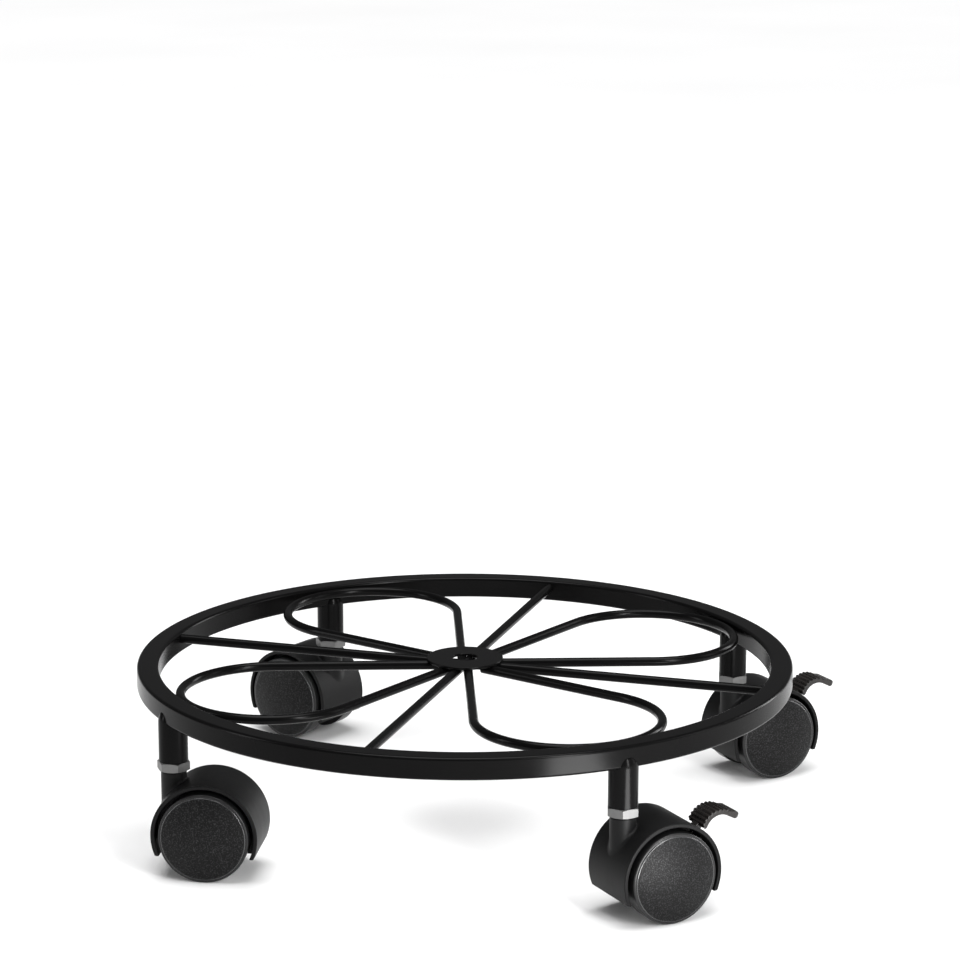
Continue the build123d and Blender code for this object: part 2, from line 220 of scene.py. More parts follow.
def rounded_block(
    sides: tuple[np.ndarray, np.ndarray, np.ndarray], rounding: float
) -> list[tuple[np.ndarray, int]]:
    """The six faces of a block with rounded edges, before it is bent or placed.

    A grid point on the plain block is drawn back to the nearest point of the inner block, which
    is smaller by the rounding, and pushed out from there by the rounding.

    Args:
        sides: the positions along each of the three sides, from rounded_steps().
        rounding: radius of the rounded edges.

    Returns:
        Each face's points and the axis that it faces along.
    """
    half = np.array([side[-1] for side in sides])
    faces = []
    for axis in range(3):
        others = [k for k in range(3) if k != axis]
        grid = np.meshgrid(sides[others[0]], sides[others[1]], indexing="ij")
        for end in (-1, 1):
            raw = np.empty((*grid[0].shape, 3))
            raw[..., axis] = end * half[axis]
            raw[..., others[0]], raw[..., others[1]] = grid
            core = np.clip(raw, rounding - half, half - rounding)
            out = raw - core
            out /= np.linalg.norm(out, axis=-1, keepdims=True)
            faces.append((core + rounding * out, axis))
    return faces


def sewn_piece(name: str, patches: Sequence[Patch], sharp: float = 38.0) -> bpy.types.Object:
    """Sew patches into one mesh with its faces outwards.

    Args:
        name: the piece's name.
        patches: the surfaces that it is made of.
        sharp: edges that turn by more degrees than this are shaded as sharp.

    Returns:
        The piece, at the origin and with its place in its mesh.
    """
    sizes = [patch.points.shape[0] * patch.points.shape[1] for patch in patches]
    first = np.concatenate([[0], np.cumsum(sizes)[:-1]])
    points = np.concatenate([patch.points.reshape(-1, 3) for patch in patches]) * MM
    quads = np.concatenate([patch.quads(start) for patch, start in zip(patches, first)])
    mesh = bpy.data.meshes.new(name)
    mesh.from_pydata(points.tolist(), [], quads.tolist())
    sewing = bmesh.new()
    sewing.from_mesh(mesh)
    bmesh.ops.remove_doubles(sewing, verts=sewing.verts, dist=SEWING_GAP)
    bmesh.ops.recalc_face_normals(sewing, faces=sewing.faces)
    sewing.to_mesh(mesh)
    sewing.free()
    mesh.shade_smooth()
    mesh.set_sharp_from_angle(angle=math.radians(sharp))
    piece = bpy.data.objects.new(name, mesh)
    bpy.context.scene.collection.objects.link(piece)
    weighted = piece.modifiers.new("weighted_normals", "WEIGHTED_NORMAL")
    weighted.keep_sharp = True
    return piece


# ---------------------------------------------------------------------------------------------
# Finishes
# ---------------------------------------------------------------------------------------------
class Slot(Enum):
    """The record's material slots."""

    POWDER_COAT = "black_powder_coat"
    ZINC = "zinc_plate"
    SPRING_STEEL = "spring_steel"
    HOUSING = "housing_plastic"
    WHEEL = "wheel_plastic"
    FACE = "face_plastic"
    LEVER = "lever_plastic"


class Shading:
    """The nodes of one material."""

    def __init__(self, name: str) -> None:
        """Start an empty material of this name."""
        self.material = bpy.data.materials.new(name)
        self.material.use_nodes = True
        self.tree = self.material.node_tree
        self.tree.nodes.clear()

    def node(
        self,
        kind: str,
        settings: dict[str, object] | None = None,
        inputs: dict[str | int, object] | None = None,
        output: str | int = 0,
    ) -> "Term":
        """Add one node.

        Args:
            kind: the node's type.
            settings: its own settings, which are set first; "stops" are a ramp's
                places and tones.
            inputs: the value or the term that goes into each of its sockets.
            output: which of its outputs is wanted.

        Returns:
            That output, as a term.
        """
        made = self.tree.nodes.new(kind)
        for key, value in (settings or {}).items():
            if key == "stops":
                ramp = made.color_ramp.elements
                while len(ramp) < len(value):
                    ramp.new(1.0)
                for stop, (place, tone) in zip(ramp, value):
                    stop.position = place
                    stop.color = (tone, tone, tone, 1.0)
            else:
                setattr(made, key, value)
        for key, value in (inputs or {}).items():
            if isinstance(value, Term):
                self.tree.links.new(value.socket, made.inputs[key])
            else:
                made.inputs[key].default_value = value
        return Term(self, made.outputs[output])

    def place(self) -> "Term":
        """The point's place on the piece, in metres."""
        return self.node("ShaderNodeTexCoord", output="Object")

    def noise(self, size: float, detail: float = 2.0, stretch: Colour | None = None) -> "Term":
        """Soft noise over the piece.

        Args:
            size: the size of its spots, in millimetres.
            detail: how many finer layers it has.
            stretch: how much closer together its spots are along each axis.

        Returns:
            The noise, from 0 to 1.
        """
        where = self.place()
        if stretch is not None:
            where = self.node("ShaderNodeMapping", inputs={"Vector": where, "Scale": stretch})
        values = {"Vector": where, "Scale": 1 / (size * MM), "Detail": detail}
        return self.node("ShaderNodeTexNoise", inputs=values)

    def cells(self, size: float) -> "Term":
        """The distance to the nearest of many scattered points, this many millimetres apart."""
        values = {"Vector": self.place(), "Scale": 1 / (size * MM)}
        return self.node("ShaderNodeTexVoronoi", inputs=values, output="Distance")

    def blend(self, share: "Term", first: Colour, second: Colour) -> "Term":
        """A colour that goes from the first to the second as the share goes from 0 to 1."""
        settings = {"data_type": "RGBA"}
        values = {0: share, 6: (*first, 1.0), 7: (*second, 1.0)}
        return self.node("ShaderNodeMix", settings, values, output=2)

    def contrast(self, term: "Term", low: float, high: float) -> "Term":
        """A term stretched so that low becomes 0 and high becomes 1."""
        return self.node("ShaderNodeValToRGB", {"stops": ((low, 0.0), (high, 1.0))}, {"Fac": term})

    def bump(self, height: "Term", depth: float) -> "Term":
        """The surface's direction where it rises by the height times a depth in millimetres."""
        return self.node("ShaderNodeBump", inputs={"Height": height, "Distance": depth * MM})

    def finished(self, surface: dict[str, object]) -> bpy.types.Material:
        """Close the material.

        Args:
            surface: the value or the term that goes into each socket of the shader.

        Returns:
            The material.
        """
        shader = self.node("ShaderNodeBsdfPrincipled", inputs=surface)
        out = self.tree.nodes.new("ShaderNodeOutputMaterial")
        self.tree.links.new(shader.socket, out.inputs["Surface"])
        return self.material


@dataclass(frozen=True)
class Term:
    """A value that changes over a surface: one socket, with arithmetic."""

    shading: Shading
    socket: bpy.types.NodeSocket

    def _joined(self, operation: str, first: object, second: object) -> "Term":
        """The result of one Math operation on two values or terms."""
        return self.shading.node("ShaderNodeMath", {"operation": operation}, {0: first, 1: second})

    def __add__(self, other: "Term | float") -> "Term":
        """This plus the other."""
        return self._joined("ADD", self, other)

    def __radd__(self, other: float) -> "Term":
        """The other plus this."""
        return self._joined("ADD", other, self)

    def __sub__(self, other: "Term | float") -> "Term":
        """This less the other."""
        return self._joined("SUBTRACT", self, other)

    def __rsub__(self, other: float) -> "Term":
        """The other less this."""
        return self._joined("SUBTRACT", other, self)

    def __mul__(self, other: "Term | float") -> "Term":
        """This times the other."""
        return self._joined("MULTIPLY", self, other)

    def __rmul__(self, other: float) -> "Term":
        """The other times this."""
        return self._joined("MULTIPLY", other, self)


@dataclass(frozen=True)
class PowderCoat:
    """Satin black powder coat: faint orange peel, a fine texture and slow changes of tone."""

    name: str = "satin_black_powder_coat"
    dark: Colour = (0.0016, 0.0016, 0.0017)
    light: Colour = (0.0034, 0.0033, 0.0033)
    roughness: float = 0.19
    roughness_spread: float = 0.08
    peel_size: float = 1.6
    peel_depth: float = 0.008
    cloud_size: float = 34.0
    dust_size: float = 0.28
    dust_share: float = 0.2
    dust_roughness: float = 0.05
    gloss: float = 0.06

    def material(self) -> bpy.types.Material:
        """Build the finish: orange peel in the bump, and clouds in colour and roughness."""
        shading = Shading(self.name)
        clouds = shading.noise(self.cloud_size, detail=3.0)
        peel = shading.noise(self.peel_size, detail=1.0)
        dust = shading.noise(self.dust_size, detail=1.0)
        height = (1 - self.dust_share) * peel + self.dust_share * dust
        matt = self.roughness_spread * (clouds - 0.5) + self.dust_roughness * dust
        surface = {
            "Base Color": shading.blend(clouds, self.dark, self.light),
            "Roughness": self.roughness + matt,
            "Specular IOR Level": self.gloss,
            "Normal": shading.bump(height, self.peel_depth),
        }
        return shading.finished(surface)


@dataclass(frozen=True)
class MouldedPlastic:
    """Moulded plastic: an even fine grain with faint flow marks."""

    name: str
    dark: Colour
    light: Colour
    roughness: float
    grain_size: float
    grain_depth: float
    flow: Colour = (1.0, 1.0, 0.25)
    mark_size: float = 9.0
    mark_share: float = 0.7
    mark_roughness: float = 0.14
    grain_roughness: float = 0.10
    gloss: float = 0.5

    def material(self) -> bpy.types.Material:
        """Build the finish: grain in the bump and roughness, and flow marks in the colour."""
        shading = Shading(self.name)
        marks = shading.noise(self.mark_size, detail=3.0, stretch=self.flow)
        grain = shading.noise(self.grain_size, detail=2.0)
        tone = self.mark_share * marks + (1 - self.mark_share) * grain
        matt = self.mark_roughness * (marks - 0.5) + self.grain_roughness * (grain - 0.5)
        surface = {
            "Base Color": shading.blend(tone, self.dark, self.light),
            "Roughness": self.roughness + matt,
            "Specular IOR Level": self.gloss,
            "Normal": shading.bump(grain, self.grain_depth),
        }
        return shading.finished(surface)


@dataclass(frozen=True)
class SparkGrain:
    """The wheel faces' spark-eroded texture: coarse bright specks between small pits."""

    name: str = "spark_grained_face"
    dark: Colour = (0.0018, 0.0018, 0.0019)
    light: Colour = (0.0310, 0.0310, 0.0322)
    roughness: float = 0.30
    speck_size: float = 0.56
    speck_levels: tuple[float, float] = (0.50, 0.76)
    speck_share: float = 0.7
    matt_between: float = 0.22
    pit_size: float = 0.7
    depth: float = 0.12
    gloss: float = 0.16

    def material(self) -> bpy.types.Material:
        """Build the finish: specks and pits together make the height, and specks the colour."""
        shading = Shading(self.name)
        specks = shading.noise(self.speck_size, detail=2.0)
        pits = shading.cells(self.pit_size)
        lit = shading.contrast(specks, *self.speck_levels)
        height = self.speck_share * specks + (1 - self.speck_share) * pits
        surface = {
            "Base Color": shading.blend(lit, self.dark, self.light),
            "Roughness": self.roughness + self.matt_between * (1 - lit),
            "Specular IOR Level": self.gloss,
            "Normal": shading.bump(height, self.depth),
        }
        return shading.finished(surface)


@dataclass(frozen=True)
class PlatedSteel:
    """Bare or plated steel: faint cloudy plating over fine turning marks."""

    name: str
    dark: Colour
    light: Colour
    roughness: float
    cloud_size: float = 2.4
    cloud_roughness: float = 0.16
    mark_size: float = 1.4
    mark_stretch: Colour = (0.4, 0.4, 6.0)
    mark_roughness: float = 0.08
    mark_depth: float = 0.006

    def material(self) -> bpy.types.Material:
        """Build the finish: clouds in the colour, and lines across the height in the bump."""
        shading = Shading(self.name)
        clouds = shading.noise(self.cloud_size, detail=3.0)
        lines = shading.noise(self.mark_size, detail=2.0, stretch=self.mark_stretch)
        matt = self.cloud_roughness * (clouds - 0.5) + self.mark_roughness * (lines - 0.5)
        surface = {
            "Base Color": shading.blend(clouds, self.dark, self.light),
            "Metallic": 1.0,
            "Roughness": self.roughness + matt,
            "Normal": shading.bump(lines, self.mark_depth),
        }
        return shading.finished(surface)


@dataclass(frozen=True)
class StudioPaper:
    """The pale paper that the caddy stands on."""

    name: str = "pale_studio_paper"
    dark: Colour = (0.80, 0.80, 0.80)
    light: Colour = (0.86, 0.86, 0.86)
    roughness: float = 0.85
    tooth_roughness: float = 0.1
    tone_size: float = 400.0
    tooth_size: float = 1.2
    tooth_depth: float = 0.02
    gloss: float = 0.1

    def material(self) -> bpy.types.Material:
        """Build the finish: slow changes of tone and a faint tooth."""
        shading = Shading(self.name)
        tone = shading.noise(self.tone_size, detail=2.0)
        tooth = shading.noise(self.tooth_size, detail=2.0)
        surface = {
            "Base Color": shading.blend(tone, self.dark, self.light),
            "Roughness": self.roughness + self.tooth_roughness * tooth,
            "Specular IOR Level": self.gloss,
            "Normal": shading.bump(tooth, self.tooth_depth),
        }
        return shading.finished(surface)


class Finishes:
    """Every material of the caddy, one for each of the record's slots."""

    def __init__(self) -> None:
        """Make each slot's material once."""
        recipes = {
            Slot.POWDER_COAT: PowderCoat(),
            Slot.ZINC: PlatedSteel("bright_zinc", (0.13, 0.13, 0.13), (0.19, 0.19, 0.187), 0.46),
            Slot.SPRING_STEEL: PlatedSteel(
                "spring_steel", (0.20, 0.20, 0.21), (0.34, 0.34, 0.35), 0.38
            ),
            Slot.HOUSING: MouldedPlastic(
                "matte_housing_plastic",
                (0.0036, 0.0036, 0.0037),
                (0.0064, 0.0064, 0.0066),
                roughness=0.46,
                grain_size=0.34,
                grain_depth=0.012,
                gloss=0.12,
            ),
            Slot.WHEEL: MouldedPlastic(
                "tread_plastic",
                (0.0070, 0.0070, 0.0072),
                (0.0130, 0.0130, 0.0133),
                roughness=0.32,
                grain_size=0.5,
                grain_depth=0.008,
                gloss=0.30,
            ),
            Slot.FACE: SparkGrain(),
            Slot.LEVER: MouldedPlastic(
                "warm_lever_plastic",
                (0.0052, 0.0041, 0.0036),
                (0.0120, 0.0096, 0.0083),
                roughness=0.28,
                grain_size=0.7,
                grain_depth=0.012,
            ),
        }
        self.made = {slot: recipe.material() for slot, recipe in recipes.items()}
        # The faces' rounded shoulder: the low roughness is a real polish, but its colours, far
        # lighter than the black face and tread, are a painted highlight.
        self.polished_edge = MouldedPlastic(
            "polished_face_edge",
            (0.030, 0.030, 0.031),
            (0.050, 0.050, 0.051),
            roughness=0.16,
            grain_size=0.5,
            grain_depth=0.002,
            gloss=0.8,
        ).material()

    def dress(self, piece: bpy.types.Object, body: str, slot: Slot, *nodes: str) -> None:
        """Give a new piece its finish, the body it rides on and the nodes it stands for.

        Args:
            piece: the new piece.
            body: the body that it moves with.
            slot: the record's slot that it takes its finish from.
            nodes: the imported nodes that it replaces.
        """
        piece.data.materials.append(self.made[slot])
        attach(piece, body)
        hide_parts(*nodes)
        log.info("%s: %d faces, on %s", piece.name, len(piece.data.polygons), body)

    def repaint(self, node: bpy.types.Object, slot: Slot) -> None:
        """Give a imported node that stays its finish.

        Args:
            node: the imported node.
            slot: the record's slot that it takes its finish from.
        """
        for place in node.material_slots:
            place.material = self.made[slot]
        log.info("%s: kept, in %s", node.name, slot.value)


# ---------------------------------------------------------------------------------------------
# Platform
# ---------------------------------------------------------------------------------------------
@dataclass(frozen=True)
class Platform:
    """The welded steel platform: ring, wires, hub disc, sleeves and lock nuts."""

    finishes: Finishes
    sleeve_places: dict[str, np.ndarray]
    height: float
    ring_radius: float
    tube: float = 10.0
    tube_corner: float = 1.4
    ring_steps: int = 320
    wire_radius: float = 2.15
    wire_steps: int = 28
    spoke_points: int = 9
    wire_level: float = 74.85
    weld_gap: float = 0.05
    end_chamfer: float = 0.12
    petal_apex: float = 2.5
    petal_leg_start: float = 8.6
    petal_arc: float = 41.0
    leg_points: int = 12
    arc_points: int = 84
    hub_radius: float = 17.5
    hub_hole: float = 5.7
    hub_thick: float = 1.2
    hub_steps: int = 128
    hub_edges: tuple[float, float, float] = (0.15, 0.2, 0.35)
    spoke_gap: float = 0.6
    sleeve_radius: float = 6.5
    sleeve_length: float = 17.8
    ear_height: float = 4.7
    ear_top_radius: float = 5.15
    ear_gap: float = 0.02
    ear_tuck: float = 0.25
    ear_cap: float = 0.15
    sleeve_edge: float = 0.25
    sleeve_steps: int = 160
    bore_radius: float = 4.01
    bore_chamfer: float = 0.4
    bore_lift: float = 0.3
    nut_flats: float = 13.0
    nut_corners: float = 15.3
    nut_thick: float = 4.0
    nut_cone: float = 0.45
    nut_chamfer: float = 0.5
    nut_step: float = 3.75
    nut_turns: tuple[tuple[str, float], ...] = (
        ("front_left", 7.0),
        ("front_right", 45.0),
        ("rear_right", 45.0),
        ("rear_left", 7.0),
    )
    body: str = "platform"

    @property
    def ring_bottom(self) -> float:
        """Height of the ring's underside."""
        return self.height - self.tube

    @property
    def ring_inner(self) -> float:
        """Radius of the ring's inner side."""
        return self.ring_radius - self.tube

    def build(self) -> None:
        """Make every piece of the platform."""
        self._ring()
        self._hub_disc()
        self._spokes()
        for corner, place in self.sleeve_places.items():
            self._petal(corner, place)
            self._sleeve(corner, place)
        self._lock_nuts()

    def _upright(self, profile: np.ndarray, columns: int) -> Patch:
        """Turn a closed profile of (radius, height) once about the ring's upright axis."""
        angle = np.linspace(0, FULL_TURN, columns, endpoint=False)
        radius, up = profile[:, :1], np.broadcast_to(profile[:, 1:], (len(profile), columns))
        points = np.stack([radius * np.cos(angle), radius * np.sin(angle), up], axis=-1)
        return Patch(points, rows_closed=True, columns_closed=True)

    def _ring(self) -> None:
        """Make the ring: a square with rounded corners, turned about the upright axis."""
        inner, outer, corner = self.ring_inner, self.ring_radius, self.tube_corner
        outline = [
            (inner, self.ring_bottom, corner),
            (outer, self.ring_bottom, corner),
            (outer, self.height, corner),
            (inner, self.height, corner),
        ]
        patch = self._upright(rounded_outline(outline, steps=8), self.ring_steps)
        piece = sewn_piece("ring", [patch])
        self.finishes.dress(piece, self.body, Slot.POWDER_COAT, "outer_ring")

    def _hub_disc(self) -> None:
        """Make the hub disc: a flat washer with softened edges, turned about the upright axis."""
        bottom = self.height - self.hub_thick
        hole_edge, rim_edge, top_edge = self.hub_edges
        outline = [
            (self.hub_hole, bottom, hole_edge),
            (self.hub_radius, bottom, rim_edge),
            (self.hub_radius, self.height, top_edge),
            (self.hub_hole, self.height, top_edge),
        ]
        patch = self._upright(rounded_outline(outline, steps=5), self.hub_steps)
        piece = sewn_piece("hub_plate", [patch])
        self.finishes.dress(piece, self.body, Slot.POWDER_COAT, "hub_disc")

    def _wire(self, path: np.ndarray, heading: np.ndarray) -> Patch:
        """Carry a circle along a level path, with chamfered and closed ends.

        A point lies the wire's radius times the cosine of its angle to the left of the path, and
        times the sine above it. At each end the radius falls by the chamfer, and then to nothing.

        Args:
            path: the path's points, two coordinates each.
            heading: the path's direction at each of them, of length one.

        Returns:
            The wire's surface.
        """
        chamfer = self.end_chamfer
        starts = np.stack([path[0], path[0], path[0] + chamfer * heading[0]])
        ends = np.stack([path[-1] - chamfer * heading[-1], path[-1], path[-1]])
        line = np.concatenate([starts, path[1:-1], ends])
        ahead = np.concatenate([[heading[0]] * 3, heading[1:-1], [heading[-1]] * 3])
        full = np.full(len(path), self.wire_radius)
        cut = self.wire_radius - chamfer
        radius = np.concatenate([[0.0, cut], full, [cut, 0.0]])[:, None]
        angle = np.linspace(0, FULL_TURN, self.wire_steps, endpoint=False)
        left = np.stack([-ahead[:, 1], ahead[:, 0]], axis=1)[:, None]
        level = line[:, None] + left * (radius * np.cos(angle))[..., None]
        up = self.wire_level + radius * np.sin(angle)
        return Patch(np.concatenate([level, up[..., None]], axis=-1), columns_closed=True)

    def _spokes(self) -> None:
        """Make the long spoke along X and the two short ones that meet it along Y."""
        reach = self.ring_inner - self.weld_gap
        runs = {
            "spoke_through": ((-reach, 0.0), (reach, 0.0)),
            "spoke_front": ((0.0, -self.spoke_gap), (0.0, -reach)),
            "spoke_rear": ((0.0, self.spoke_gap), (0.0, reach)),
        }
        for node, (start, end) in runs.items():
            path = np.linspace(start, end, self.spoke_points)
            run = path[-1] - path[0]
            heading = np.tile(run / np.linalg.norm(run), (len(path), 1))
            piece = sewn_piece(f"{node}_wire", [self._wire(path, heading)])
            self.finishes.dress(piece, self.body, Slot.POWDER_COAT, node)

    def _petal(self, corner: str, place: np.ndarray) -> None:
        """Make one petal: a straight leg, a round end and a second leg, bent from one wire.

        The legs are tangents from the petal's apex to the round end's circle, so half the angle
        between them has the arc's radius over the distance from apex to centre as its sine.

        Args:
            corner: the corner that the petal points to.
            place: the middle of that corner's sleeve.
        """
        centre = self.ring_inner - self.weld_gap - self.wire_radius - self.petal_arc
        half = math.asin(self.petal_arc / (centre - self.petal_apex))
        leg = math.sqrt((centre - self.petal_apex) ** 2 - self.petal_arc**2)
        along = np.linspace(self.petal_leg_start, leg, self.leg_points)
        side = np.array([math.cos(half), math.sin(half)])
        upper = np.array([self.petal_apex, 0.0]) + along[:, None] * side
        sweep = np.linspace(-math.pi / 2 - half, math.pi / 2 + half, self.arc_points)[1:-1]
        rounded = on_circle((centre, 0.0), self.petal_arc, np.degrees(sweep))
        mirror = np.array([1.0, -1.0])
        path = np.concatenate([upper * mirror, rounded, upper[::-1]])
        turning = np.stack([-np.sin(sweep), np.cos(sweep)], axis=1)
        legs = np.ones((self.leg_points, 1))
        heading = np.concatenate([legs * side * mirror, turning, -legs * side])
        outward = place[:2] / np.linalg.norm(place[:2])
        basis = np.array([outward, [-outward[1], outward[0]]])
        piece = sewn_piece(f"petal_{corner}_wire", [self._wire(path @ basis, heading @ basis)])
        self.finishes.dress(piece, self.body, Slot.POWDER_COAT, f"petal_{corner}")

    def _sleeve(self, corner: str, place: np.ndarray) -> None:
        """Make one sleeve, whose tapering top rises up both sides of the tube in two ears.

        Above the ring's underside the radius shrinks with the square of the height, and the wall
        ends where that radius times the cosine of the angle from the ring's outward direction is
        half the tube. Under the tube it is fitted to the tube's rounded corners.

        Args:
            corner: the sleeve's corner.
            place: the middle of the sleeve.
        """
        outward = place[:2] / np.linalg.norm(place[:2])
        angle = np.linspace(0, FULL_TURN, self.sleeve_steps, endpoint=False)
        cosine = np.maximum(np.abs(np.cos(angle)), 0.05)
        narrowing = self.sleeve_radius - self.ear_top_radius
        tube_side = self.tube / 2 + self.ear_gap
        rise = np.maximum(self.sleeve_radius - tube_side / cosine, 0.0) / narrowing
        past = np.clip(self.sleeve_radius * cosine, 0.0, self.tube / 2) - self.tube / 2
        past = np.maximum(past + self.tube_corner, 0.0)
        fitted = self.tube_corner - np.sqrt(self.tube_corner**2 - past**2)
        rise = np.clip(self.ear_height * np.sqrt(rise), fitted, self.ear_height)
        notch, edge = self.ring_bottom, self.sleeve_edge
        low = notch - self.sleeve_length
        bend, share = quarter_turn(4), np.linspace(0, 1, 7)[:, None]
        radius = stacked(
            self.sleeve_steps,
            self.bore_radius,
            self.bore_radius + self.bore_chamfer,
            self.sleeve_radius - edge + edge * np.sin(bend),
            self.sleeve_radius - narrowing * (share * rise / self.ear_height) ** 2,
            self.sleeve_radius - narrowing * (rise / self.ear_height) ** 2 - self.ear_tuck,
            self.bore_radius,
        )
        height = stacked(
            self.sleeve_steps,
            low + self.bore_chamfer,
            low,
            low + edge - edge * np.cos(bend),
            notch + share * rise,
            notch + rise + self.ear_cap,
            notch + self.bore_lift,
        )
        across = np.array([-outward[1], outward[0]])
        level = (
            place[:2]
            + (radius * np.cos(angle))[..., None] * outward
            + (radius * np.sin(angle))[..., None] * across
        )
        points = np.concatenate([level, height[..., None]], axis=-1)
        patch = Patch(points, rows_closed=True, columns_closed=True)
        piece = sewn_piece(f"sleeve_{corner}_tube", [patch], sharp=50.0)
        self.finishes.dress(piece, self.body, Slot.POWDER_COAT, f"sleeve_{corner}")

    def _nut(self, place: np.ndarray, turn: float) -> Patch:
        """One hexagon nut, whose corners are turned off by a cone above and below.

        The hexagon's radius is half the flats over the cosine of the angle from the nearest
        flat's middle. A corner stands out of the cone where its radius is larger than half the
        flats, and its chamfer's drop grows in proportion.

        Args:
            place: the middle of the nut's sleeve.
            turn: direction of one corner, in degrees.

        Returns:
            The nut's surface.
        """
        steps = np.arange(0.0, 360.0, self.nut_step)
        angle, within = np.radians(turn + steps), np.radians(steps % 60.0 - 30.0)
        half = self.nut_flats / 2
        outer = np.minimum(half / np.cos(within), self.nut_corners / 2)
        drop = self.nut_cone * (outer - half) / (self.nut_corners / 2 - half)
        top = self.ring_bottom - self.sleeve_length
        low, bore, chamfer = top - self.nut_thick, self.bore_radius, self.nut_chamfer
        count, wide = len(angle), self.bore_radius + self.nut_chamfer
        radius = stacked(count, bore, wide, half, outer, outer, half, wide, bore)
        low_rows = (low + chamfer, low, low, low + drop)
        height = stacked(count, *low_rows, top - drop, top, top, top - chamfer)
        level_x, level_y = radius * np.cos(angle), radius * np.sin(angle)
        points = np.stack([place[0] + level_x, place[1] + level_y, height], axis=-1)
        return Patch(points, rows_closed=True, columns_closed=True)

    def _lock_nuts(self) -> None:
        """Make the four lock nuts as one piece, as they are one node."""
        patches = [self._nut(self.sleeve_places[corner], turn) for corner, turn in self.nut_turns]
        piece = sewn_piece("zinc_lock_nuts", patches, sharp=12.0)
        self.finishes.dress(piece, self.body, Slot.ZINC, "lock_nuts")


# ---------------------------------------------------------------------------------------------
# Casters
# ---------------------------------------------------------------------------------------------
class Side(Enum):
    """A wheel's side, as the sign of its distance along the axle."""

    LEFT = 1
    RIGHT = -1

    @property
    def word(self) -> str:
        """The side's name in node and body names."""
        return self.name.lower()


